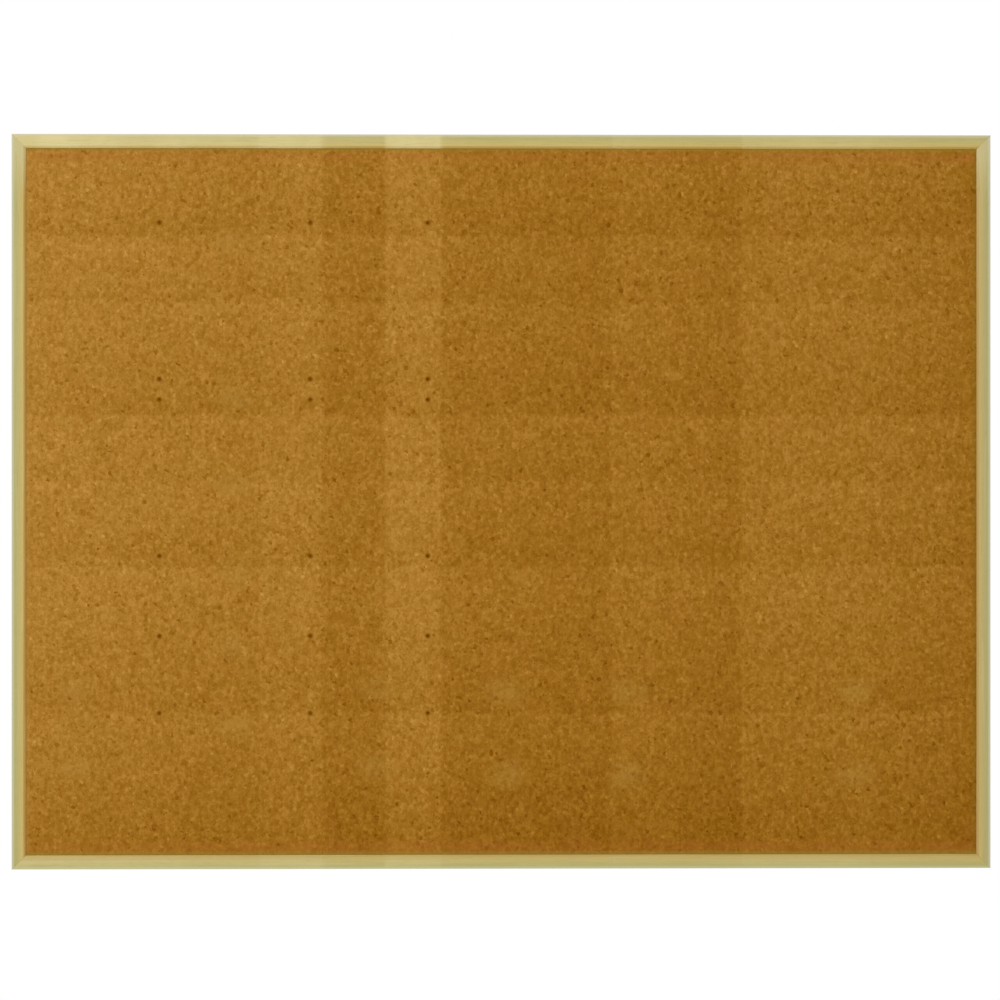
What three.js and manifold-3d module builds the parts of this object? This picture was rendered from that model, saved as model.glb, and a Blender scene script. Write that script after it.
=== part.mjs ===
// A cork notice board for a wall: a mitred wood frame holds a cork sheet, a soft core and a hard back.
// Lengths are in millimetres, +Z is up, the cork faces -Y, and the board's right side is at +X.
// The origin is on the wall, behind the middle of the board.

import * as THREE from "three";
import { mergeVertices } from "three/addons/utils/BufferGeometryUtils.js";
import Module from "manifold-3d";

// The board over its frame
const boardWidth = 1200;
const boardHeight = 900;

// The frame moulding: a wall beside the panels, and a lip in front of their edges
const frameFace = 17;
const lipCover = 5;
const lipThickness = 3;
const sightBevelWidth = 2.5;
const sightBevelDepth = 1.5;
const outerEdgeEase = 0.6;
const mitreGap = 0.3;

// The panels, from front to back, and the space that the frame leaves round and behind them
const corkThickness = 3;
const coreThickness = 9;
const backThickness = 3;
const panelEdgeGap = 0.5;
const backRecess = 2;

// Old pin pricks, in columns and rows placed as shares of the board's width and height from its middle
const prickDiameter = 2.4;
const prickDepth = 8;
const prickSides = 10;
const prickColumnShares = [-0.35, -0.196, -0.076];
const prickRowShares = [0.38, 0.167, 0.139, -0.074, -0.183, -0.288];

// V-shaped corner nails, driven across the mitres from the back and sunk a little
const nailLeg = 5;
const nailSheet = 0.5;
const nailDepth = 7;
const nailSunk = 0.3;
const nailPlaces = [
  { name: "outer", insetShare: 0.33 },
  { name: "inner", insetShare: 0.67 },
];

// Framer's points, which lie on the back panel with their tips in the frame
const pointWidth = 8;
const pointLength = 16;
const pointTaper = 6;
const pointBite = 5;
const pointSheet = 0.6;
const pointsAlongRail = 4;
const pointsAlongStile = 3;

// The room that a nail, point or screw has in the wood
const woodClearance = 0.3;

// Hangers: the strap's middle from the stile's outer edge, and the ring's bar from the board's top
const hangerInset = 7;
const hangerDrop = 100;
const strapWidth = 7;
const strapLength = 24;
const strapSheet = 0.8;
const strapFoldRun = 3;

// The D-ring of bent wire: its width over all, and its length between the middles of the bar and the far end
const ringWire = 1.8;
const ringWidth = 13;
const ringLength = 12;
const ringCornerRadius = 1.5;
const ringButtGap = 0.3;
const ringPlay = 0.3;
const ringRestGap = 0.35;
const ringWireSides = 10;
const ringCornerSteps = 3;
const ringCrownSteps = 14;

// Pan-head wood screws: the first one's place and the spacing are measured down from the ring's bar
const screwFirst = 6;
const screwSpacing = 12;
const screwShank = 3;
const screwLength = 12;
const screwTip = 3;
const screwHead = 5.5;
const screwHeadHeight = 2;
const screwHeadRim = 0.7;
const screwHoleClearance = 0.3;
const recessSpan = 3;
const recessWidth = 0.8;
const recessDepth = 1.1;
const screwSides = 16;
const screwCrownSteps = 3;

// Rubber bumpers, which hold the frame's back off the wall
const bumperHeight = 5;
const bumperDiameter = 10;
const bumperFlatDiameter = 7;
const bumperRim = 2.5;
const bumperFromEnd = 30;
const bumperSides = 24;
const bumperRoundSteps = 4;

// How far a cutter runs past the face that it opens
const overrun = 1;

// Depths behind and in front of one another, all measured from the wall at zero
const frameBack = -bumperHeight;
const panelBack = frameBack - backRecess;
const coreBack = panelBack - backThickness;
const corkBack = coreBack - coreThickness;
const corkFront = corkBack - corkThickness;
const frameFront = corkFront - lipThickness;

// Sizes that follow from the ones above
const wallWidth = frameFace - lipCover;
const mitreRecess = mitreGap / Math.SQRT2;
const pointTipInset = wallWidth - pointBite;
const strapThickness = 2 * strapSheet;
const foldHoleRadius = ringWire / 2 + ringPlay;
const foldRadius = foldHoleRadius + strapSheet;
const ringLean = Math.asin((foldRadius - ringWire / 2 - ringRestGap) / ringLength);

// Finishes
const wood = { color: 0xbeb273, roughness: 0.6, metalness: 0 };
const cork = { color: 0xa06e24, roughness: 0.95, metalness: 0 };
const softboard = { color: 0x9a8a6c, roughness: 1, metalness: 0 };
const hardboard = { color: 0x6e4c30, roughness: 0.8, metalness: 0 };
const steel = { color: 0xb4b8bb, roughness: 0.35, metalness: 1 };
const rubber = { color: 0x2a2a2b, roughness: 0.85, metalness: 0 };

const wasm = await Module();
wasm.setup();

// Closed geometry to a solid, and a solid back to geometry
function toSolid(geometry) {
  const bare = geometry.clone();
  bare.deleteAttribute("normal");
  bare.deleteAttribute("uv");
  const merged = mergeVertices(bare);
  const vertProperties = new Float32Array(merged.attributes.position.array);
  const triVerts = new Uint32Array(merged.index.array);
  return new wasm.Manifold(new wasm.Mesh({ numProp: 3, vertProperties, triVerts }));
}

function toGeometry(solid) {
  const { vertProperties, triVerts } = solid.getMesh();
  const geometry = new THREE.BufferGeometry();
  geometry.setAttribute("position", new THREE.BufferAttribute(vertProperties, 3));
  geometry.setIndex(new THREE.BufferAttribute(triVerts, 1));
  return geometry;
}

function cutAway(geometry, cutters) {
  let solid = toSolid(geometry);
  for (const cutter of cutters) {
    solid = solid.subtract(toSolid(cutter));
  }
  return toGeometry(solid);
}

function piece(name, geometry, finish) {
  const mesh = new THREE.Mesh(geometry, new THREE.MeshStandardMaterial(finish));
  mesh.name = name;
  return mesh;
}

// A flat plate of an outline drawn in X and Z, from its rear face forwards
function plate(outline, rear, thickness) {
  const geometry = new THREE.ExtrudeGeometry(outline, { depth: thickness, bevelEnabled: false });
  geometry.rotateX(Math.PI / 2);
  return geometry.translate(0, rear, 0);
}

function outlineOf(corners) {
  return new THREE.Shape(corners.map(([x, y]) => new THREE.Vector2(x, y)));
}

// A round bar along Y between two depths
function bar(radius, front, rear, sides) {
  const geometry = new THREE.CylinderGeometry(radius, radius, rear - front, sides);
  return geometry.translate(0, (front + rear) / 2, 0);
}

// The moulding's section, drawn with the distance inwards from the outer edge first and the depth second
function mouldingSection() {
  return outlineOf([
    [0, frameFront + outerEdgeEase],
    [outerEdgeEase, frameFront],
    [frameFace - sightBevelWidth, frameFront],
    [frameFace, frameFront + sightBevelDepth],
    [frameFace, corkFront],
    [wallWidth, corkFront],
    [wallWidth, frameBack],
    [0, frameBack],
  ]);
}

// One length of moulding along X with its outer edge at Z = 0. It is drawn with a length of 1,
// and each end then goes to its place, which lies further in as the mitre goes inwards.
function mitredMoulding(length) {
  const geometry = new THREE.ExtrudeGeometry(mouldingSection(), { depth: 1, bevelEnabled: false });
  geometry.rotateY(Math.PI / 2);
  const position = geometry.attributes.position;
  for (let i = 0; i < position.count; i += 1) {
    const inwards = -position.getZ(i);
    const end = length / 2 - inwards - mitreRecess;
    position.setX(i, (2 * position.getX(i) - 1) * end);
  }
  return geometry;
}

// A corner nail's section, with its outer apex at the origin and one leg along each length of moulding
function nailSection(leg, sheet) {
  return outlineOf([
    [0, 0],
    [-leg, 0],
    [-leg, -sheet],
    [-sheet, -sheet],
    [-sheet, -leg],
    [0, -leg],
  ]);
}

function nail() {
  return plate(nailSection(nailLeg, nailSheet), frameBack - nailSunk, nailDepth);
}

// The slot for a corner nail at one end of a moulding, where end is 1 or -1
function nailSlot(length, end, insetShare) {
  const inset = insetShare * wallWidth;
  const section = nailSection(nailLeg + 2 * woodClearance, nailSheet + 2 * woodClearance);
  const slot = plate(section, frameBack + overrun, overrun + nailSunk + nailDepth + woodClearance);
  slot.translate(woodClearance, 0, woodClearance);
  if (end < 0) {
    slot.rotateY(-Math.PI / 2);
  }
  return slot.translate(end * (length / 2 - inset), 0, -inset);
}

// A framer's point drawn with its tip at the origin, and the slot that it bites in the wall of the moulding
function pointOutline(growth) {
  const halfWidth = pointWidth / 2 + growth;
  return outlineOf([
    [0, 2 * growth],
    [-halfWidth, -pointTaper],
    [-halfWidth, -pointLength],
    [halfWidth, -pointLength],
    [halfWidth, -pointTaper],
  ]);
}

function point() {
  return plate(pointOutline(0), panelBack + pointSheet, pointSheet);
}

function pointSlot(along) {
  const rear = panelBack + pointSheet + woodClearance;
  const slot = plate(pointOutline(woodClearance), rear, pointSheet + 2 * woodClearance);
  return slot.translate(along, 0, -pointTipInset);
}

// Evenly spaced places for the points, from one end of a moulding to the other
function pointPlaces(length, count) {
  const step = length / count;
  return Array.from({ length: count }, (_, i) => (i - (count - 1) / 2) * step);
}

// A panel behind the lip, with its rear face at the given depth
function panel(rear, thickness) {
  const halfWidth = boardWidth / 2 - wallWidth - panelEdgeGap;
  const halfHeight = boardHeight / 2 - wallWidth - panelEdgeGap;
  const outline = outlineOf([
    [-halfWidth, -halfHeight],
    [halfWidth, -halfHeight],
    [halfWidth, halfHeight],
    [-halfWidth, halfHeight],
  ]);
  return plate(outline, rear, thickness);
}

// The pricks run through the cork and end in the core
function prickCutters() {
  const cutters = [];
  for (const columnShare of prickColumnShares) {
    for (const rowShare of prickRowShares) {
      const cutter = bar(prickDiameter / 2, corkFront - overrun, corkFront + prickDepth, prickSides);
      cutters.push(cutter.translate(columnShare * boardWidth, 0, rowShare * boardHeight));
    }
  }
  return cutters;
}

// The strap seen from the side: a sheet folded double, with an eye in the fold for the ring's bar
function strapProfile() {
  const shoulder = strapThickness - foldRadius;
  const toShoulder = Math.hypot(strapFoldRun, shoulder);
  const leaveAngle = Math.atan2(shoulder, -strapFoldRun) + 2 * Math.PI - Math.acos(foldRadius / toShoulder);
  const profile = new THREE.Shape();
  profile.moveTo(-strapLength, 0);
  profile.lineTo(0, 0);
  profile.absarc(0, foldRadius, foldRadius, -Math.PI / 2, leaveAngle, false);
  profile.lineTo(-strapFoldRun, strapThickness);
  profile.lineTo(-strapLength, strapThickness);
  const eye = new THREE.Path();
  eye.absarc(0, foldRadius, foldHoleRadius, 0, 2 * Math.PI, false);
  profile.holes.push(eye);
  return profile;
}

// The strap seen from behind, with a round lower end
function strapPlan() {
  const halfWidth = strapWidth / 2;
  const plan = new THREE.Shape();
  plan.moveTo(halfWidth, foldRadius + overrun);
  plan.lineTo(-halfWidth, foldRadius + overrun);
  plan.absarc(0, halfWidth - strapLength, halfWidth, Math.PI, 2 * Math.PI, false);
  return plan;
}

function screwDrops() {
  return [screwFirst, screwFirst + screwSpacing];
}

function strap() {
  const folded = new THREE.ExtrudeGeometry(strapProfile(), { depth: strapWidth, bevelEnabled: false });
  folded.rotateY(-Math.PI / 2);
  folded.translate(strapWidth / 2, 0, 0);
  const above = 2 * foldRadius + overrun;
  const rounded = toSolid(folded).intersect(toSolid(plate(strapPlan(), above, above + overrun)));
  const holeRadius = screwShank / 2 + screwHoleClearance;
  const holes = screwDrops().map((drop) => {
    return bar(holeRadius, -overrun, strapThickness + overrun, screwSides).translate(0, 0, -drop);
  });
  return cutAway(toGeometry(rounded), holes);
}

// A bent wire's middle line through given points, straight between them
class WirePath extends THREE.Curve {
  constructor(points) {
    super();
    this.points = points;
  }

  getPoint(share) {
    const place = share * (this.points.length - 1);
    const before = Math.min(Math.floor(place), this.points.length - 2);
    return this.points[before].clone().lerp(this.points[before + 1], place - before);
  }

  getPointAt(share) {
    return this.getPoint(share);
  }

  getTangentAt(share) {
    const nearest = Math.round(share * (this.points.length - 1));
    const before = this.points[Math.max(nearest - 1, 0)];
    const after = this.points[Math.min(nearest + 1, this.points.length - 1)];
    return after.clone().sub(before).normalize();
  }
}

function arcPoints(centreX, centreZ, radius, from, to, steps) {
  const points = [];
  for (let i = 0; i <= steps; i += 1) {
    const angle = from + ((to - from) * i) / steps;
    const across = centreX + radius * Math.cos(angle);
    points.push(new THREE.Vector3(across, 0, centreZ + radius * Math.sin(angle)));
  }
  return points;
}

// The ring is one wire whose ends meet on the bar, inside the strap's fold
function ring() {
  const halfWidth = (ringWidth - ringWire) / 2;
  const corner = halfWidth - ringCornerRadius;
  const crown = ringLength - halfWidth;
  const path = new WirePath([
    new THREE.Vector3(ringButtGap / 2, 0, 0),
    ...arcPoints(corner, ringCornerRadius, ringCornerRadius, -Math.PI / 2, 0, ringCornerSteps),
    ...arcPoints(0, crown, halfWidth, 0, Math.PI, ringCrownSteps),
    ...arcPoints(-corner, ringCornerRadius, ringCornerRadius, Math.PI, 1.5 * Math.PI, ringCornerSteps),
    new THREE.Vector3(-ringButtGap / 2, 0, 0),
  ]);
  const section = new THREE.Shape();
  section.absarc(0, 0, ringWire / 2, 0, 2 * Math.PI, false);
  return new THREE.ExtrudeGeometry(section, {
    steps: path.points.length - 1,
    curveSegments: ringWireSides / 2,
    extrudePath: path,
  });
}

// A screw along Y with the underside of its head at zero
function screw() {
  const profile = [
    new THREE.Vector2(0, -screwLength),
    new THREE.Vector2(screwShank / 2, screwTip - screwLength),
    new THREE.Vector2(screwShank / 2, 0),
    new THREE.Vector2(screwHead / 2, 0),
  ];
  for (let i = 0; i <= screwCrownSteps; i += 1) {
    const angle = (i / screwCrownSteps) * (Math.PI / 2);
    const height = screwHeadRim + (screwHeadHeight - screwHeadRim) * Math.sin(angle);
    profile.push(new THREE.Vector2((screwHead / 2) * Math.cos(angle), height));
  }
  profile[profile.length - 1].x = 0;
  const arm = new THREE.BoxGeometry(recessSpan, 2 * recessDepth, recessWidth);
  arm.translate(0, screwHeadHeight, 0);
  const otherArm = arm.clone().rotateY(Math.PI / 2);
  return cutAway(new THREE.LatheGeometry(profile, screwSides), [arm, otherArm]);
}

function screwHole(along) {
  const depth = screwLength - strapThickness + woodClearance;
  const hole = bar(screwShank / 2 + woodClearance, frameBack - depth, frameBack + overrun, screwSides);
  return hole.translate(along, 0, -hangerInset);
}

// A bumper along Y with its stuck face at zero and its flat end on the wall
function bumper() {
  const radius = bumperDiameter / 2;
  const flatRadius = bumperFlatDiameter / 2;
  const profile = [new THREE.Vector2(0, 0), new THREE.Vector2(radius, 0)];
  for (let i = 0; i <= bumperRoundSteps; i += 1) {
    const angle = (i / bumperRoundSteps) * (Math.PI / 2);
    const out = flatRadius + (radius - flatRadius) * Math.cos(angle);
    profile.push(new THREE.Vector2(out, bumperRim + (bumperHeight - bumperRim) * Math.sin(angle)));
  }
  profile.push(new THREE.Vector2(0, bumperHeight));
  return new THREE.LatheGeometry(profile, bumperSides);
}

const board = new THREE.Group();

// What the rails have in common, and what the stiles have. A stile carries a hanger.
const rail = { length: boardWidth, across: boardHeight, points: pointsAlongRail };
const stile = { length: boardHeight, across: boardWidth, points: pointsAlongStile };

// The four lengths of moulding, clockwise from the top as seen from the front, each with its last corner.
// A stile's own X runs down on the right and up on the left, which upwards says.
const mouldings = [
  { ...rail, side: "top", name: "frame_top_rail", corner: "top_right", upwards: 0 },
  { ...stile, side: "right", name: "frame_right_stile", corner: "bottom_right", upwards: -1 },
  { ...rail, side: "bottom", name: "frame_bottom_rail", corner: "bottom_left", upwards: 0 },
  { ...stile, side: "left", name: "frame_left_stile", corner: "top_left", upwards: 1 },
];

mouldings.forEach(({ length, across, points, side, name, corner, upwards }, quarter) => {
  const turn = (quarter * Math.PI) / 2;
  const group = new THREE.Group();
  group.rotation.y = turn;
  group.position.set((Math.sin(turn) * across) / 2, 0, (Math.cos(turn) * across) / 2);
  board.add(group);

  const cutters = [];
  for (const { insetShare } of nailPlaces) {
    cutters.push(nailSlot(length, 1, insetShare), nailSlot(length, -1, insetShare));
  }
  for (const along of pointPlaces(length, points)) {
    cutters.push(pointSlot(along));
  }
  if (upwards !== 0) {
    for (const drop of screwDrops()) {
      cutters.push(screwHole(upwards * (boardHeight / 2 - hangerDrop - drop)));
    }
  }
  group.add(piece(name, cutAway(mitredMoulding(length), cutters), wood));

  for (const place of nailPlaces) {
    const inset = place.insetShare * wallWidth;
    const mesh = piece(`v_nail_${corner}_${place.name}`, nail(), steel);
    mesh.position.set(length / 2 - inset, 0, -inset);
    group.add(mesh);
  }

  pointPlaces(length, points).forEach((along, i) => {
    const mesh = piece(`framers_point_${side}_${i + 1}`, point(), steel);
    mesh.position.set(along, 0, -pointTipInset);
    group.add(mesh);
  });
});

// The panels
board.add(piece("cork_sheet", cutAway(panel(corkBack, corkThickness), prickCutters()), cork));
board.add(piece("core_board", cutAway(panel(coreBack, coreThickness), prickCutters()), softboard));
board.add(piece("back_panel", panel(panelBack, backThickness), hardboard));

// The hangers and bumpers on both stiles
for (const [side, sign] of [["left", -1], ["right", 1]]) {
  const hanger = new THREE.Group();
  hanger.position.set(sign * (boardWidth / 2 - hangerInset), frameBack, boardHeight / 2 - hangerDrop);
  board.add(hanger);
  hanger.add(piece(`hanger_strap_${side}`, strap(), steel));

  const ringMesh = piece(`hanger_ring_${side}`, ring(), steel);
  ringMesh.position.y = foldRadius;
  ringMesh.rotation.x = ringLean;
  hanger.add(ringMesh);

  screwDrops().forEach((drop, i) => {
    const mesh = piece(`hanger_screw_${side}_${i + 1}`, screw(), steel);
    mesh.position.set(0, strapThickness, -drop);
    hanger.add(mesh);
  });

  for (const [end, up] of [["top", 1], ["bottom", -1]]) {
    const mesh = piece(`bumper_${end}_${side}`, bumper(), rubber);
    const height = up * (boardHeight / 2 - bumperFromEnd);
    mesh.position.set(sign * (boardWidth / 2 - wallWidth / 2), frameBack, height);
    board.add(mesh);
  }
}

export default board;
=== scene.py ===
import math
import random

import bmesh
import bpy
from mathutils import Matrix, Vector


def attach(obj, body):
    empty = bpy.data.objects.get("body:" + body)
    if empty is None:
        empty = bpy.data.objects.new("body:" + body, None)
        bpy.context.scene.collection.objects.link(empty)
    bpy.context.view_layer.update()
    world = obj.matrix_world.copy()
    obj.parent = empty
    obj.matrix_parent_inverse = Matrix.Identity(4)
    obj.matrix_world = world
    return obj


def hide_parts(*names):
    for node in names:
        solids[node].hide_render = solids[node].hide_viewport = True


# A framed cork board for a wall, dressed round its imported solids. Lengths are in metres, the wall
# is at y = 0, the cork faces -y, and x runs to the right as the board is looked at.
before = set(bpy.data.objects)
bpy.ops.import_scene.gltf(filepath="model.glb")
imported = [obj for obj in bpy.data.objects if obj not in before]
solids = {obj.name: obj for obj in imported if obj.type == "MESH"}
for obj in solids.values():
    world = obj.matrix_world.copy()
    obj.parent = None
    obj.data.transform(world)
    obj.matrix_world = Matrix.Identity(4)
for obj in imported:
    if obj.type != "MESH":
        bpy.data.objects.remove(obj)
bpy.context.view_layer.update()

# The board and its depths, as the solids have them
HALF_WIDTH = 0.6
HALF_HEIGHT = 0.45
FRAME_FRONT = -0.025
CORK_FRONT = -0.022
CORK_BACK = -0.019
FRAME_BACK = -0.005
FRAME_FACE = 0.017
OPENING_HALF_WIDTH = HALF_WIDTH - FRAME_FACE
OPENING_HALF_HEIGHT = HALF_HEIGHT - FRAME_FACE
SHEET_HALF_WIDTH = 0.5875
SHEET_HALF_HEIGHT = 0.4375

# Old pin pricks, which stand in columns and rows
PRICK_COLUMNS = (-0.42, -0.2352, -0.0912)
PRICK_ROWS = (0.342, 0.1503, 0.1251, -0.0666, -0.1647, -0.2592)
PRICK_RADIUS = 0.0005


# Materials

def paint(red, green, blue):
    """A colour given from 0 to 255 as it looks on a screen."""
    def straight(part):
        share = part / 255
        return share / 12.92 if share <= 0.04045 else ((share + 0.055) / 1.055) ** 2.4
    return (straight(red), straight(green), straight(blue), 1.0)


class Signal:
    """One output of a material's nodes, which plain maths can be written on."""

    def __init__(self, finish, socket):
        self.finish = finish
        self.socket = socket

    def maths(self, operation, *terms):
        return self.finish.node("Math", {"operation": operation}, dict(enumerate(terms)))

    def __add__(self, other):
        return self.maths("ADD", self, other)

    def __radd__(self, other):
        return self.maths("ADD", other, self)

    def __sub__(self, other):
        return self.maths("SUBTRACT", self, other)

    def __rsub__(self, other):
        return self.maths("SUBTRACT", other, self)

    def __mul__(self, other):
        return self.maths("MULTIPLY", self, other)

    def __rmul__(self, other):
        return self.maths("MULTIPLY", other, self)

    def __truediv__(self, other):
        return self.maths("DIVIDE", self, other)

    def __pow__(self, other):
        return self.maths("POWER", self, other)

    def __abs__(self):
        return self.maths("ABSOLUTE", self)

    def least(self, other):
        return self.maths("MINIMUM", self, other)

    def rise(self, low, high):
        """0 up to low, 1 from high, and a soft rise between them."""
        values = {"Value": self, "From Min": low, "From Max": high}
        return self.finish.node("MapRange", {"interpolation_type": "SMOOTHSTEP"}, values)

    def fall(self, low, high):
        return 1 - self.rise(low, high)


class Finish:
    """A material, with one method by which every node of it is made."""

    def __init__(self, name, **constants):
        self.material = bpy.data.materials.new(name)
        self.material.use_nodes = True
        self.tree = self.material.node_tree
        self.shader = self.tree.nodes["Principled BSDF"]
        for socket, value in constants.items():
            self.shader.inputs[socket.replace("_", " ")].default_value = value
        self.place = self.node("TexCoord", output="Object")
        self.x, self.y, self.z = (
            self.node("SeparateXYZ", {}, {"Vector": self.place}, output=axis) for axis in "XYZ"
        )

    def node(self, kind, settings=None, values=None, output=None):
        """Adds a node. Its settings come first, then the values or signals of its sockets."""
        made = self.tree.nodes.new("ShaderNode" + kind)
        for name, value in (settings or {}).items():
            if name == "stops":
                self.set_stops(made.color_ramp, value)
            else:
                setattr(made, name, value)
        for name, value in (values or {}).items():
            if isinstance(name, int):
                socket = made.inputs[name]
            else:
                socket = next(s for s in made.inputs if s.enabled and s.name == name)
            if isinstance(value, Signal):
                self.tree.links.new(value.socket, socket)
            else:
                socket.default_value = value
        outputs = [s for s in made.outputs if s.enabled and output in (None, s.name)]
        return Signal(self, outputs[0])

    def set_stops(self, ramp, stops):
        while len(ramp.elements) > 1:
            ramp.elements.remove(ramp.elements[-1])
        for i, (position, colour) in enumerate(stops):
            element = ramp.elements[0] if i == 0 else ramp.elements.new(position)
            element.position = position
            element.color = colour

    def stretched(self, scale, turn=(0, 0, 0)):
        return self.node("Mapping", {}, {"Vector": self.place, "Scale": scale, "Rotation": turn})

    def cloud(self, scale, detail=3, roughness=0.5, vector=None):
        place = vector or self.place
        values = {"Vector": place, "Scale": scale, "Detail": detail, "Roughness": roughness}
        return self.node("TexNoise", {}, values)

    def cells(self, scale, output, feature="F1", vector=None):
        values = {"Vector": vector or self.place, "Scale": scale}
        return self.node("TexVoronoi", {"feature": feature}, values, output)

    def parts(self, colour):
        """The red, green and blue of a random colour, as three random numbers."""
        values = {"Color": colour}
        return [self.node("SeparateColor", {}, values, part) for part in ("Red", "Green", "Blue")]

    def blend(self, first, second, share):
        settings = {"data_type": "RGBA", "clamp_factor": True}
        return self.node("Mix", settings, {"Factor": share, "A": first, "B": second})

    def ramp(self, signal, stops):
        return self.node("ValToRGB", {"stops": stops}, {"Fac": signal})

    def warped(self, scale, reach):
        """The place of a point, pushed about at random by up to half the reach."""
        values = {"Vector": self.place, "Scale": scale, "Detail": 2}
        push = self.node("TexNoise", {}, values, "Color")
        centred = self.node("VectorMath", {"operation": "SUBTRACT"}, {0: push, 1: (0.5, 0.5, 0.5)})
        values = {"Vector": centred, "Scale": reach}
        sized = self.node("VectorMath", {"operation": "SCALE"}, values)
        return self.node("VectorMath", {"operation": "ADD"}, {0: self.place, 1: sized})

    def finish(self, colour, roughness, height, depth, strength=1.0):
        """Feeds the shader. The height is a share of the depth, which is in metres."""
        bump = self.node("Bump", {}, {"Strength": strength, "Distance": depth, "Height": height})
        for name, value in (("Base Color", colour), ("Roughness", roughness), ("Normal", bump)):
            if isinstance(value, Signal):
                self.tree.links.new(value.socket, self.shader.inputs[name])
            else:
                self.shader.inputs[name].default_value = value
        return self.material


# How the cork's tone changes, in bands with soft edges. Each has the place where it starts, and how
# much paler the cork is at its start and at its end, in hundredths. The last number is where the
# last band ends.
TONE_BANDS_ACROSS = (
    (-0.583, 12, 2), (-0.300, 6, 6), (-0.219, -3, -3), (-0.142, 8, 7),
    (-0.0735, -3, -8), (0.134, -2, -8), (0.295, 0, 0), (0.452, -1, -7), 0.583,
)
TONE_BANDS_UP = (
    (-0.433, -14, 1), (-0.258, -5, 5), (-0.080, -2, 5), (0.024, 0, 5),
    (0.105, -3, 5), (0.244, -1, 5), (0.325, -3, 5), 0.433,
)

# Rubbed places, as columns with the rows that stand in them, and how strong they are
RUBBED = (
    ((0.0049, 0.1544, 0.4339), (-0.233, -0.335), 0.48),
    ((-0.33,), (0.321, 0.125, 0.021, -0.084, -0.176, -0.274), 0.46),
    ((-0.522, -0.154), (-0.229, -0.324), 0.40),
)


def nearest(signal, places):
    """The distance along one axis to the nearest of some places."""
    distance = abs(signal - places[0])
    for place in places[1:]:
        distance = distance.least(abs(signal - place))
    return distance


def distance_to(finish, columns, rows, squeeze=1.0):
    """The distance to the nearest crossing of columns and rows. The squeeze scales the widths."""
    across = squeeze * nearest(finish.x, columns)
    up = nearest(finish.z, rows)
    return (across * across + up * up) ** 0.5


BAND_EDGE = 0.001


def tone_bands(finish, signal, bands):
    """How much paler the bands make a place, where 1 is a hundred hundredths."""
    low, high = bands[0][0], bands[-1]
    starts = [band[0] for band in bands[:-1]] + [high]
    stops = []
    for (start, first, last), end in zip(bands, starts[1:]):
        for place, tone in ((start + BAND_EDGE, first), (end - BAND_EDGE, last)):
            grey = 0.5 + tone / 100
            stops.append(((place - low) / (high - low), (grey, grey, grey, 1.0)))
    tone = finish.ramp((signal - low) / (high - low), stops)
    return finish.node("SeparateColor", {}, {"Color": tone}, "Red") - 0.5


# How many granules there are to a metre, coarse and fine
GRANULES = 262
FINE_GRANULES = 680


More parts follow.
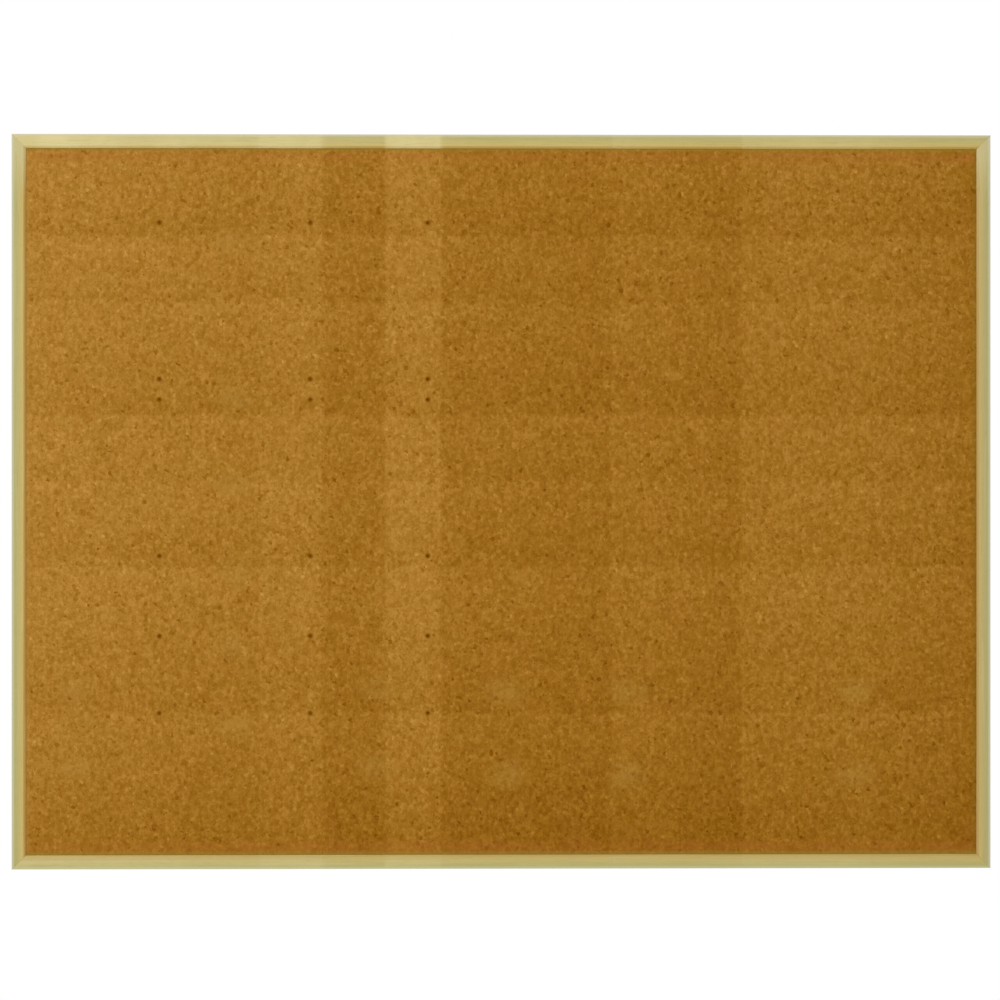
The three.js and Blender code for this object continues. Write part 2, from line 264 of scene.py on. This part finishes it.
def cork_finish():
    cork = Finish("cork_granules", Specular_IOR_Level=0.03)
    warped = cork.warped(420, 0.0016)
    tone, hue, odd = cork.parts(cork.cells(GRANULES, "Color", vector=warped))
    fine_tone, fine_odd, _ = cork.parts(cork.cells(FINE_GRANULES, "Color", vector=warped))
    seam = cork.cells(GRANULES, "Distance", "DISTANCE_TO_EDGE", warped).fall(0.01, 0.12)
    dome = cork.cells(GRANULES, "Distance", vector=warped)
    mottle = cork.cloud(250, 1.5, 0.5, cork.stretched((0.93, 1, 0.57)))
    drift = cork.cloud(34, 2)

    # The slow change of tone over the sheet, then the granules, with bark and pale bits in them
    level = 0.55 + tone_bands(cork, cork.x, TONE_BANDS_ACROSS) + tone_bands(cork, cork.z, TONE_BANDS_UP)
    level = level + 0.17 * (tone - 0.5) + 0.05 * (fine_tone - 0.5)
    level = level + 0.45 * (mottle - 0.5) - 0.05 * seam
    level = level - 0.19 * odd.rise(0.965, 0.980) - 0.17 * fine_odd.rise(0.970, 0.985)
    level = level + 0.11 * odd.fall(0.020, 0.035)
    colour = cork.ramp(level, [
        (0.00, paint(114, 62, 0)), (0.25, paint(139, 87, 8)), (0.50, paint(164, 112, 31)),
        (0.75, paint(189, 137, 57)), (1.00, paint(214, 162, 83)),
    ])
    redder = 0.07 * hue.rise(0.70, 0.95) + 0.06 * drift.rise(0.50, 0.62)
    colour = cork.blend(colour, paint(174, 108, 50), redder)
    greener = 0.07 * hue.fall(0.05, 0.28) + 0.06 * drift.fall(0.38, 0.50)
    colour = cork.blend(colour, paint(150, 116, 24), greener)

    # Redder margins along the top and bottom, then painted light and shade in a line by each lip:
    # painted light on the left, a painted shadow on the right, and olive painted shade at the top
    # and bottom
    edge_up = OPENING_HALF_HEIGHT - abs(cork.z)
    patchy = cork.cloud(30, 3).rise(0.36, 0.68)
    red_margin = edge_up.rise(0.003, 0.007) * edge_up.fall(0.010, 0.021) * (0.45 + 0.55 * patchy)
    colour = cork.blend(colour, paint(178, 107, 43), 0.38 * red_margin)
    for edge, reach, tint, share in (
        (OPENING_HALF_WIDTH + cork.x, 0.0065, paint(186, 146, 70), 0.34),
        (OPENING_HALF_WIDTH - cork.x, 0.0090, paint(124, 98, 26), 0.34),
        (OPENING_HALF_HEIGHT - cork.z, 0.0048, paint(160, 132, 40), 0.62),
        (OPENING_HALF_HEIGHT + cork.z, 0.0068, paint(161, 131, 50), 0.62),
    ):
        colour = cork.blend(colour, tint, share * edge.fall(0.0012, reach))

    # Rubbed places, then the pricks, darkened round their rims and funnels with painted shade
    for columns, rows, strength in RUBBED:
        rub = distance_to(cork, columns, rows, 0.7).fall(0.003, 0.025)
        rub = rub * cork.cloud(130, 3).rise(0.28, 0.60)
        colour = cork.blend(colour, paint(180, 137, 58), strength * rub)
    prick = distance_to(cork, PRICK_COLUMNS, PRICK_ROWS)
    colour = cork.blend(colour, paint(128, 77, 2), 0.95 * prick.fall(0.0017, 0.0046))

    height = 0.55 * (1 - dome) - 0.5 * seam + 0.3 * cork.cloud(2600, 3)
    roughness = 0.93 - 0.10 * tone
    return cork.finish(colour, roughness, height, 0.0003, 0.7)


def wood_finish(name, lengthwise):
    """Pale planed wood with its grain along the x or the z axis."""
    wood = Finish(name, Specular_IOR_Level=0.30)
    is_rail = lengthwise == "x"
    inward = HALF_HEIGHT - abs(wood.z) if is_rail else HALF_WIDTH - abs(wood.x)
    fine = (0.025, 1, 1) if is_rail else (1, 1, 0.025)
    grain = wood.cloud(900, 4, 0.6, wood.stretched(fine))
    streak = wood.cloud(240, 2, 0.5, wood.stretched(fine))
    pore = wood.cloud(2600, 2, 0.5, wood.stretched(fine)).rise(0.60, 0.72)
    patch = wood.cloud(22, 2)

    # Greener at the outer edge, warmer inwards, and darker on the bevel by the cork with painted
    # shade
    colour = wood.ramp(inward / FRAME_FACE, [
        (0.10, paint(182, 176, 118)), (0.30, paint(185, 175, 109)), (0.48, paint(191, 177, 107)),
        (0.70, paint(201, 179, 103)), (0.79, paint(205, 179, 101)), (0.87, paint(191, 160, 83)),
        (1.00, paint(190, 152, 66)),
    ])
    if is_rail:
        # The rails are paler in the same bands as the cork, and the top one more, which is painted
        # light from above
        at_top, at_bottom = wood.z.rise(-0.1, 0.1), wood.z.fall(-0.1, 0.1)
        paler = (tone_bands(wood, wood.x, TONE_BANDS_ACROSS) + 0.045) * (3.45 + 2.9 * wood.z)
        paler = paler * (0.78 + 0.40 * patch.rise(0.35, 0.65))
        colour = wood.blend(colour, paint(228, 213, 152), paler)
        inner_part = inward.rise(0.0095, 0.0125)
        colour = wood.blend(colour, paint(184, 166, 100), 0.5 * inner_part * at_bottom)
        # The colour of the painted highlight on the outer edge, paler on the top rail
        edge_highlight_tint = wood.blend(paint(202, 201, 150), paint(215, 201, 170), at_top)
    else:
        on_right, on_left = wood.x.rise(-0.1, 0.1), wood.x.fall(-0.1, 0.1)
        # Painted shade: the right stile is a little darker, and the left stile's bevel darker again
        colour = wood.blend(colour, paint(148, 129, 124), 0.10 * on_right)
        bevel = inward.rise(0.0140, 0.0150)
        colour = wood.blend(colour, paint(164, 120, 46), 0.40 * bevel * on_left)
        colour = wood.blend(colour, paint(210, 198, 144), 0.7 * wood.z.rise(0.36, 0.44))
        # The colour of the painted highlight on the outer edge of the stiles
        edge_highlight_tint = wood.blend(paint(212, 211, 176), paint(218, 211, 176), on_right)
    colour = wood.blend(colour, paint(166, 150, 92), 0.45 * grain.rise(0.50, 0.78))
    colour = wood.blend(colour, paint(214, 200, 140), 0.30 * streak.rise(0.52, 0.75))
    colour = wood.blend(colour, paint(138, 116, 68), 0.36 * pore)

    # The outer edge has a painted highlight, pale where the eased arris catches the light
    edge_highlight = inward.fall(0.0010, 0.0040) * wood.y.fall(-0.0235, -0.0215)
    colour = wood.blend(colour, edge_highlight_tint, 0.70 * edge_highlight)
    back = wood.y.rise(-0.0062, -0.0052)
    colour = wood.blend(colour, paint(200, 184, 134), 0.35 * back)

    height = 0.6 * grain - 0.5 * pore + 0.3 * wood.cloud(3000, 2)
    roughness = 0.50 + 0.14 * grain + 0.10 * back
    return wood.finish(colour, roughness, height, 0.0001, 0.6)


def softboard_finish():
    board = Finish("soft_fibreboard", Specular_IOR_Level=0.1)
    fibre = board.cloud(1500, 5, 0.7, board.stretched((1, 1, 0.35), (0, 0.6, 0)))
    clump = board.cloud(260, 3)
    colour = board.ramp(0.6 * fibre + 0.4 * clump, [
        (0.25, paint(104, 88, 62)), (0.50, paint(140, 122, 90)), (0.75, paint(172, 154, 118)),
    ])
    prick = distance_to(board, PRICK_COLUMNS, PRICK_ROWS)
    colour = board.blend(colour, paint(176, 128, 70), 0.8 * prick.fall(0.0016, 0.0030))
    return board.finish(colour, 0.95, fibre, 0.0003, 0.7)


def hardboard_finish():
    board = Finish("brown_hardboard", Specular_IOR_Level=0.35)
    one_way = board.cloud(1100, 4, 0.7, board.stretched((1, 1, 0.22), (0, 0.7, 0)))
    other_way = board.cloud(900, 4, 0.7, board.stretched((0.26, 1, 1), (0, -0.9, 0)))
    fibre = board.cloud(700, 5, 0.65, board.warped(120, 0.004))
    clump = board.cloud(70, 4, 0.6)
    drift = board.cloud(5, 2)
    level = 0.22 * one_way + 0.20 * other_way + 0.28 * fibre + 0.18 * clump + 0.12 * drift
    colour = board.ramp(level, [
        (0.34, paint(84, 56, 34)), (0.46, paint(112, 78, 48)),
        (0.54, paint(126, 90, 56)), (0.66, paint(156, 116, 76)),
    ])
    speck, pale, _ = board.parts(board.cells(420, "Color", vector=board.warped(500, 0.002)))
    colour = board.blend(colour, paint(78, 50, 30), 0.40 * speck.rise(0.970, 0.985))
    colour = board.blend(colour, paint(160, 122, 82), 0.32 * pale.rise(0.975, 0.990))
    dust = (SHEET_HALF_HEIGHT - abs(board.z)).least(SHEET_HALF_WIDTH - abs(board.x))
    colour = board.blend(colour, paint(146, 112, 78), 0.4 * dust.fall(0.0, 0.012))
    roughness = 0.44 + 0.25 * clump
    return board.finish(colour, roughness, one_way + fibre, 0.00012, 0.5)


def steel_finish(name, light, dark, polish):
    """Zinc-plated steel, with its spangle, fine scratches and dull patches."""
    steel = Finish(name, Metallic=1.0)
    spangle, dull, _ = steel.parts(steel.cells(900, "Color", vector=steel.warped(700, 0.001)))
    scratch = steel.cloud(6000, 2, 0.5, steel.stretched((1, 0.3, 0.06), (0, 0.35, 0)))
    bloom = steel.cloud(700, 4, 0.6)
    share = 0.35 * spangle + 0.40 * bloom + 0.25 * scratch
    colour = steel.ramp(share, [(0.30, dark), (0.62, light)])
    roughness = polish + 0.16 * bloom + 0.08 * dull
    return steel.finish(colour, roughness, scratch, 0.00002, 0.5)


def rubber_finish():
    rubber = Finish("dark_rubber", Specular_IOR_Level=0.4)
    grain = rubber.cloud(2400, 4, 0.7)
    dust = rubber.cloud(420, 3)
    worn = rubber.y.rise(-0.0008, 0.0)
    colour = rubber.ramp(grain, [(0.35, paint(30, 30, 31)), (0.65, paint(52, 51, 50))])
    colour = rubber.blend(colour, paint(104, 98, 88), 0.30 * dust.rise(0.45, 0.70) + 0.20 * worn)
    roughness = 0.66 + 0.2 * dust
    return rubber.finish(colour, roughness, grain, 0.00005, 0.6)


cork = cork_finish()
rail_wood = wood_finish("rail_wood", "x")
stile_wood = wood_finish("stile_wood", "z")
softboard = softboard_finish()
hardboard = hardboard_finish()
fastener_steel = steel_finish("fastener_steel", paint(166, 168, 168), paint(114, 116, 118), 0.36)
hanger_steel = steel_finish("hanger_steel", paint(204, 206, 206), paint(150, 152, 154), 0.24)
rubber = rubber_finish()


# Pieces

def put(form, name, finish, body="board", crease=35):
    """Makes a finished piece of a form. It stands for the solid of its own name."""
    mesh = bpy.data.meshes.new(name)
    form.to_mesh(mesh)
    form.free()
    mesh.materials.append(finish)
    mesh.shade_smooth()
    mesh.set_sharp_from_angle(angle=math.radians(crease))
    piece = bpy.data.objects.new(name + "_dressed", mesh)
    bpy.context.scene.collection.objects.link(piece)
    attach(piece, body)
    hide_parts(name)
    return piece


def copy_of(name):
    """A merged copy of a solid, with one face for each flat side."""
    form = bmesh.new()
    form.from_mesh(solids[name].data)
    loop_layers, vert_layers = form.loops.layers, form.verts.layers
    for layers in (loop_layers.uv, loop_layers.float_vector, vert_layers.float_vector):
        for layer in list(layers.values()):
            layers.remove(layer)
    bmesh.ops.remove_doubles(form, verts=form.verts, dist=1e-6)
    bmesh.ops.dissolve_limit(form, angle_limit=math.radians(1), verts=form.verts, edges=form.edges)
    return form


def ease(form, edges, width, segments=2):
    bmesh.ops.bevel(
        form, geom=edges, offset=width, offset_type="OFFSET", segments=segments,
        profile=0.5, affect="EDGES", clamp_overlap=True, material=-1,
    )


def sharp_edges(form, angle=30):
    paired = [e for e in form.edges if len(e.link_faces) == 2]
    return [e for e in paired if e.calc_face_angle() > math.radians(angle)]


# The frame. Its long edges are eased, and the mitres close up to a hairline.
MITRE_RECESS = 0.0003 / math.sqrt(2)
MITRE_CLOSES = 0.00014
EASED_EDGE = 0.00035


def dress_moulding(name, lengthwise):
    form = copy_of(name)
    along, across = (0, 2) if lengthwise == "x" else (2, 0)
    half_length = HALF_WIDTH if lengthwise == "x" else HALF_HEIGHT
    half_across = HALF_HEIGHT if lengthwise == "x" else HALF_WIDTH
    for vert in form.verts:
        inward = half_across - abs(vert.co[across])
        if abs(half_length - inward - MITRE_RECESS - abs(vert.co[along])) < 1e-5:
            vert.co[along] += math.copysign(MITRE_CLOSES, vert.co[along])
    long_edges = [e for e in sharp_edges(form, 20) if e.calc_length() > half_length]
    ease(form, long_edges, EASED_EDGE, 3)
    put(form, name, rail_wood if lengthwise == "x" else stile_wood)


for name, lengthwise in (
    ("frame_top_rail", "x"), ("frame_bottom_rail", "x"),
    ("frame_left_stile", "z"), ("frame_right_stile", "z"),
):
    dress_moulding(name, lengthwise)


# The cork sheet, a grid whose face has the pricks and some shallow pits where granules came out
CORK_STEP = 0.0099

# Every prick and pit stands in a flat ring. In it a prick has a torn rim and then a funnel, given
# from the outside in as radii, each with how far it stands proud of the face. The pins of the
# right-hand column went in deeper.
MARK_RADIUS = 0.0026
TORN_RIM = ((0.0021, 0.00008), (0.0017, 0.00020), (0.0013, 0.00005))
SHALLOW_FUNNEL = ((0.0009, -0.00015), (PRICK_RADIUS, -0.0006))
DEEP_FUNNEL = ((0.0009, -0.0006), (PRICK_RADIUS, -0.0014))

# Pits keep clear of the frame, the pricks and each other
PITS = 160
PIT_TRIES = 500
PIT_SPACING = 0.025
PIT_REACH_ACROSS = 0.57
PIT_REACH_UP = 0.42
PIT_RADII = (0.0007, 0.0013)
PIT_DEPTHS = (0.0003, 0.0007)
PIT_FLOOR_DEPTHS = (0.0007, 0.0010)


def cork_places(half, marks):
    """Grid lines over the sheet, each mark with a line of its own."""
    count = round(2 * half / CORK_STEP)
    lines = [-half + 2 * half * i / count for i in range(count + 1)]
    for mark in marks:
        nearest_line = min(range(1, count), key=lambda i: abs(lines[i] - mark))
        lines[nearest_line] = mark
    return lines


def ring_in(form, face, radius, centre, lift=0.0):
    """Insets a face and rounds its corners to a circle about the centre, lifted to the front."""
    bmesh.ops.inset_individual(form, faces=[face], thickness=0.0004, use_even_offset=True)
    for vert in face.verts:
        out = Vector((vert.co.x - centre.x, 0, vert.co.z - centre.z)).normalized() * radius
        vert.co = Vector((centre.x + out.x, CORK_FRONT - lift, centre.z + out.z))


def dress_cork():
    rng = random.Random(7)
    columns = cork_places(SHEET_HALF_WIDTH, PRICK_COLUMNS)
    rows = cork_places(SHEET_HALF_HEIGHT, PRICK_ROWS)
    form = bmesh.new()
    turn = Matrix.Rotation(math.radians(90), 4, "X")
    bmesh.ops.create_grid(
        form, x_segments=len(columns) - 1, y_segments=len(rows) - 1, size=1.0, matrix=turn,
    )
    for vert in form.verts:
        column = round((vert.co.x + 1) / 2 * (len(columns) - 1))
        row = round((vert.co.z + 1) / 2 * (len(rows) - 1))
        vert.co = Vector((columns[column], CORK_FRONT, rows[row]))
    form.normal_update()
    if form.faces[:][0].normal.y > 0:
        bmesh.ops.reverse_faces(form, faces=form.faces)

    marks = {(round(x, 5), round(z, 5)) for x in PRICK_COLUMNS for z in PRICK_ROWS}
    inner = [
        v for v in form.verts if abs(v.co.x) < PIT_REACH_ACROSS and abs(v.co.z) < PIT_REACH_UP
    ]
    pricks = [v for v in inner if (round(v.co.x, 5), round(v.co.z, 5)) in marks]
    taken = [v.co.copy() for v in pricks]
    pits = []
    for vert in rng.sample(inner, PIT_TRIES):
        is_clear = all((vert.co - other).length > PIT_SPACING for other in taken)
        if len(pits) < PITS and is_clear:
            pits.append(vert)
            taken.append(vert.co.copy())

    # The four faces round each mark become one, with corners enough for a round hole
    centres = [vert.co.copy() for vert in pricks + pits]
    merged = []
    for vert in pricks + pits:
        around = vert.link_faces[:]
        merged += bmesh.ops.dissolve_faces(form, faces=around, use_verts=False)["region"]
    bmesh.ops.bisect_edges(form, edges=list({e for face in merged for e in face.edges}), cuts=1)
    for face, centre in zip(merged, centres):
        ring_in(form, face, MARK_RADIUS, centre)
    holes = merged[:len(pricks)]
    for face, centre in zip(holes, centres):
        is_deep = round(centre.x, 5) == PRICK_COLUMNS[-1]
        for radius, lift in TORN_RIM + (DEEP_FUNNEL if is_deep else SHALLOW_FUNNEL):
            ring_in(form, face, radius, centre, lift)
    for face, centre in zip(merged[len(pricks):], centres[len(pricks):]):
        radius = rng.uniform(*PIT_RADII)
        ring_in(form, face, radius * 1.5, centre)
        ring_in(form, face, radius, centre, -rng.uniform(*PIT_DEPTHS))
        ring_in(form, face, radius * 0.4, centre, -rng.uniform(*PIT_FLOOR_DEPTHS))
    bmesh.ops.delete(form, geom=holes, context="FACES")

    # The back of the sheet lies flat on the core
    back = bmesh.ops.extrude_face_region(form, geom=form.faces[:])["geom"]
    for item in back:
        if isinstance(item, bmesh.types.BMVert):
            item.co.y = CORK_BACK
    bmesh.ops.recalc_face_normals(form, faces=form.faces)
    put(form, "cork_sheet", cork, crease=50)


dress_cork()


# The flat panel at the back
back_form = copy_of("back_panel")
ease(back_form, sharp_edges(back_form), 0.0004, 3)
put(back_form, "back_panel", hardboard)


# Hangers. The ring is one bent wire whose ends meet on its bar.
RING_LEAN = math.radians(3.58)
RING_X = 0.593
RING_Y = -0.003
RING_Z = 0.35
WIRE_RADIUS = 0.0009
RING_SIDE = 0.0056
RING_CORNER = 0.0015
RING_CROWN = 0.0064
RING_BUTT = 0.00015


def wire_straight(form, rim, run):
    made = bmesh.ops.extrude_edge_only(form, edges=rim)["geom"]
    ends = [v for v in made if isinstance(v, bmesh.types.BMVert)]
    bmesh.ops.translate(form, verts=ends, vec=run)
    return [e for e in made if isinstance(e, bmesh.types.BMEdge)]


def wire_bend(form, rim, centre, degrees, steps):
    made = bmesh.ops.spin(
        form, geom=rim, cent=centre, axis=(0, -1, 0), angle=math.radians(degrees), steps=steps,
        use_merge=False, use_duplicate=False,
    )["geom_last"]
    return [e for e in made if isinstance(e, bmesh.types.BMEdge)]


def dress_ring(side, sign):
    form = bmesh.new()
    turn = Matrix.Translation((RING_BUTT, 0, 0)) @ Matrix.Rotation(math.radians(90), 4, "Y")
    bmesh.ops.create_circle(form, segments=24, radius=WIRE_RADIUS, matrix=turn)
    rim = form.edges[:]
    first = rim[:]
    corner = RING_SIDE - RING_CORNER
    rim = wire_straight(form, rim, (corner - RING_BUTT, 0, 0))
    rim = wire_bend(form, rim, (corner, 0, RING_CORNER), 90, 8)
    rim = wire_straight(form, rim, (0, 0, RING_CROWN - RING_CORNER))
    rim = wire_bend(form, rim, (0, 0, RING_CROWN), 180, 36)
    rim = wire_straight(form, rim, (0, 0, RING_CORNER - RING_CROWN))
    rim = wire_bend(form, rim, (-corner, 0, RING_CORNER), 90, 8)
    rim = wire_straight(form, rim, (corner - RING_BUTT, 0, 0))
    bmesh.ops.contextual_create(form, geom=first)
    bmesh.ops.contextual_create(form, geom=rim)
    bmesh.ops.recalc_face_normals(form, faces=form.faces)
    ease(form, first + rim, 0.0002, 2)
    lean = Matrix.Rotation(RING_LEAN, 3, "X")
    bmesh.ops.rotate(form, verts=form.verts, cent=(0, 0, 0), matrix=lean)
    bmesh.ops.translate(form, verts=form.verts, vec=(sign * RING_X, RING_Y, RING_Z))
    put(form, f"hanger_ring_{side}", hanger_steel, f"{side}_ring")


def round_form(profile, steps, place):
    """A turned shape. The profile runs from axis to axis, each point a radius and a depth."""
    form = bmesh.new()
    verts = [form.verts.new((radius, depth, 0)) for radius, depth in profile]
    edges = [form.edges.new(pair) for pair in zip(verts, verts[1:])]
    bmesh.ops.spin(
        form, geom=edges, cent=(0, 0, 0), axis=(0, 1, 0), angle=math.tau, steps=steps,
        use_merge=True, use_duplicate=False,
    )
    bmesh.ops.remove_doubles(form, verts=form.verts, dist=1e-7)
    bmesh.ops.recalc_face_normals(form, faces=form.faces)
    bmesh.ops.translate(form, verts=form.verts, vec=place)
    return form


def quarter_round(out, inn, low, high, steps):
    """Profile points from the side at out and low, round to the end at inn and high."""
    points = []
    for i in range(steps + 1):
        angle = math.radians(90) * i / steps
        points.append((inn + (out - inn) * math.cos(angle), low + (high - low) * math.sin(angle)))
    return points


# Pan-head screws. The head's underside lies on the strap, and the shank is in the wood.
STRAP_FACE = FRAME_BACK + 0.0016
SCREW_LENGTH = 0.012
SCREW_POINT = 0.003
SHANK_RADIUS = 0.0015
HEAD_RADIUS = 0.00275
HEAD_HEIGHT = 0.002
HEAD_SIDE = 0.0007
HEAD_CHAMFER = 0.00013
RECESS_ARM = (0.003, 0.0022, 0.0008)


def dress_screw(name, x, z):
    under, crown = STRAP_FACE, STRAP_FACE + HEAD_HEIGHT
    profile = [
        (0, under - SCREW_LENGTH), (SHANK_RADIUS, under - SCREW_LENGTH + SCREW_POINT),
        (SHANK_RADIUS, under), (HEAD_RADIUS - HEAD_CHAMFER, under),
        (HEAD_RADIUS, under + HEAD_CHAMFER),
    ]
    profile += quarter_round(HEAD_RADIUS, 0, under + HEAD_SIDE, crown, 8)
    form = round_form(profile, 40, (x, 0, z))
    piece = put(form, name, hanger_steel)

    # The cross recess
    cutter_form = bmesh.new()
    for turn in (45, 135):
        arm = bmesh.ops.create_cube(cutter_form, size=1.0)["verts"]
        bmesh.ops.scale(cutter_form, verts=arm, vec=RECESS_ARM)
        narrow = [v for v in arm if v.co.y < 0]
        bmesh.ops.scale(cutter_form, verts=narrow, vec=(0.55, 1, 0.8))
        turned = Matrix.Rotation(math.radians(turn), 3, "Y")
        bmesh.ops.rotate(cutter_form, verts=arm, cent=(0, 0, 0), matrix=turned)
    bmesh.ops.translate(cutter_form, verts=cutter_form.verts, vec=(x, crown, z))
    cutter_mesh = bpy.data.meshes.new("recess_cutter")
    cutter_form.to_mesh(cutter_mesh)
    cutter_form.free()
    cutter = bpy.data.objects.new("recess_cutter", cutter_mesh)
    bpy.context.scene.collection.objects.link(cutter)
    recess = piece.modifiers.new("recess", "BOOLEAN")
    recess.object = cutter
    recess.solver = "EXACT"
    recess.use_self = True
    bpy.context.view_layer.update()
    evaluated = piece.evaluated_get(bpy.context.evaluated_depsgraph_get())
    cut = bpy.data.meshes.new_from_object(evaluated)
    piece.modifiers.clear()
    piece.data = cut
    bpy.data.objects.remove(cutter)
    cut.shade_smooth()
    cut.set_sharp_from_angle(angle=math.radians(35))


# Rubber bumpers, rounded to the flat end that meets the wall
BUMPER_RADIUS = 0.005
BUMPER_FLAT = 0.0035
BUMPER_SIDE = 0.0025
BUMPER_HEIGHT = 0.005
BUMPER_FOOT_CHAMFER = 0.0001


def dress_bumper(name, x, z):
    end = FRAME_BACK + BUMPER_HEIGHT
    profile = [
        (0, FRAME_BACK), (BUMPER_RADIUS - BUMPER_FOOT_CHAMFER, FRAME_BACK),
        (BUMPER_RADIUS, FRAME_BACK + BUMPER_FOOT_CHAMFER),
    ]
    profile += quarter_round(BUMPER_RADIUS, BUMPER_FLAT, FRAME_BACK + BUMPER_SIDE, end, 10)
    profile += [(0, end)]
    put(round_form(profile, 56, (x, 0, z)), name, rubber)


SCREW_DROPS = (0.006, 0.018)
BUMPER_X = 0.594
BUMPER_Z = 0.42

for side, sign in (("left", -1), ("right", 1)):
    strap = copy_of(f"hanger_strap_{side}")
    ease(strap, sharp_edges(strap, 50), 0.00012, 2)
    put(strap, f"hanger_strap_{side}", hanger_steel, crease=40)
    dress_ring(side, sign)
    for number, drop in enumerate(SCREW_DROPS, 1):
        dress_screw(f"hanger_screw_{side}_{number}", sign * RING_X, RING_Z - drop)
    dress_bumper(f"bumper_top_{side}", sign * BUMPER_X, BUMPER_Z)
    dress_bumper(f"bumper_bottom_{side}", sign * BUMPER_X, -BUMPER_Z)


# Nodes whose own shape is right keep it, and get a finish
for name, solid in solids.items():
    if name.startswith(("v_nail", "framers_point")):
        kept = fastener_steel
    elif name == "core_board":
        kept = softboard
    else:
        continue
    for held in solid.material_slots:
        held.material = kept


# The room: a floor that fades out round the board, a white background and soft lamps
FLOOR_RADIUS = 1.75
FLOOR_LEVEL = -1.0


def make_floor():
    form = bmesh.new()
    bmesh.ops.create_circle(form, cap_ends=True, segments=96, radius=FLOOR_RADIUS)
    bmesh.ops.translate(form, verts=form.verts, vec=(0, 0, FLOOR_LEVEL))
    mesh = bpy.data.meshes.new("floor")
    form.to_mesh(mesh)
    form.free()
    floor = bpy.data.objects.new("floor", mesh)
    bpy.context.scene.collection.objects.link(floor)
    pale = Finish("pale_floor", Specular_IOR_Level=0.1)
    colour = pale.blend(paint(238, 238, 237), paint(245, 245, 244), pale.cloud(3, 3))
    pale.finish(colour, 0.9, pale.cloud(400), 0.0001)
    clear = pale.node("BsdfTransparent")
    radius = (pale.x * pale.x + pale.y * pale.y) ** 0.5
    lit = Signal(pale, pale.shader.outputs[0])
    mixed = pale.node("MixShader", {}, {0: radius.rise(0.7, 1.7), 1: lit, 2: clear})
    pale.tree.links.new(mixed.socket, pale.tree.nodes["Material Output"].inputs["Surface"])
    floor.data.materials.append(pale.material)


def make_world():
    world = bpy.data.worlds.new("studio")
    bpy.context.scene.world = world
    world.use_nodes = True
    tree = world.node_tree
    room = tree.nodes["Background"]
    room.inputs["Color"].default_value = (1.0, 1.0, 1.0, 1.0)
    room.inputs["Strength"].default_value = 0.41
    white = tree.nodes.new("ShaderNodeBackground")
    white.inputs["Color"].default_value = (1.0, 1.0, 1.0, 1.0)
    white.inputs["Strength"].default_value = 1.0
    path = tree.nodes.new("ShaderNodeLightPath")
    seen = path.outputs["Is Camera Ray"]
    for kind in ("Is Glossy Ray", "Is Transmission Ray"):
        either = tree.nodes.new("ShaderNodeMath")
        either.operation = "MAXIMUM"
        tree.links.new(seen, either.inputs[0])
        tree.links.new(path.outputs[kind], either.inputs[1])
        seen = either.outputs[0]
    mix = tree.nodes.new("ShaderNodeMixShader")
    tree.links.new(seen, mix.inputs[0])
    tree.links.new(room.outputs[0], mix.inputs[1])
    tree.links.new(white.outputs[0], mix.inputs[2])
    tree.links.new(mix.outputs[0], tree.nodes["World Output"].inputs["Surface"])


def make_lamp(name, place, aim, size, power):
    lamp = bpy.data.lights.new(name, "AREA")
    lamp.shape = "DISK"
    lamp.size = size
    lamp.energy = power
    holder = bpy.data.objects.new(name, lamp)
    bpy.context.scene.collection.objects.link(holder)
    holder.location = place
    holder.rotation_euler = (Vector(aim) - Vector(place)).to_track_quat("-Z", "Y").to_euler()
    holder.visible_camera = False


make_floor()
make_world()
make_lamp("front_lamp", (-0.35, -3.6, 0.45), (0, 0, 0), 2.8, 67)
make_lamp("back_lamp", (0.5, 3.6, 0.6), (0, 0, 0), 2.8, 64)
make_lamp("top_lamp", (-0.9, -0.5, 2.9), (0, 0, 0), 1.6, 24)

# The camera stands a little to the left of the middle, far enough off for hardly any perspective
CAMERA_YAW = math.radians(0.60)
CAMERA_DISTANCE = 2.894
AIM = Vector((-0.0026, FRAME_FRONT, 0.0020))
camera_data = bpy.data.cameras.new("camera")
camera_data.lens = 85
camera_data.sensor_width = 36
camera = bpy.data.objects.new("camera", camera_data)
bpy.context.scene.collection.objects.link(camera)
camera.location = AIM - CAMERA_DISTANCE * Vector((math.sin(CAMERA_YAW), math.cos(CAMERA_YAW), 0))
camera.rotation_euler = (math.radians(90), 0, -CAMERA_YAW)
bpy.context.scene.camera = camera
bpy.context.scene.view_settings.view_transform = "Standard"
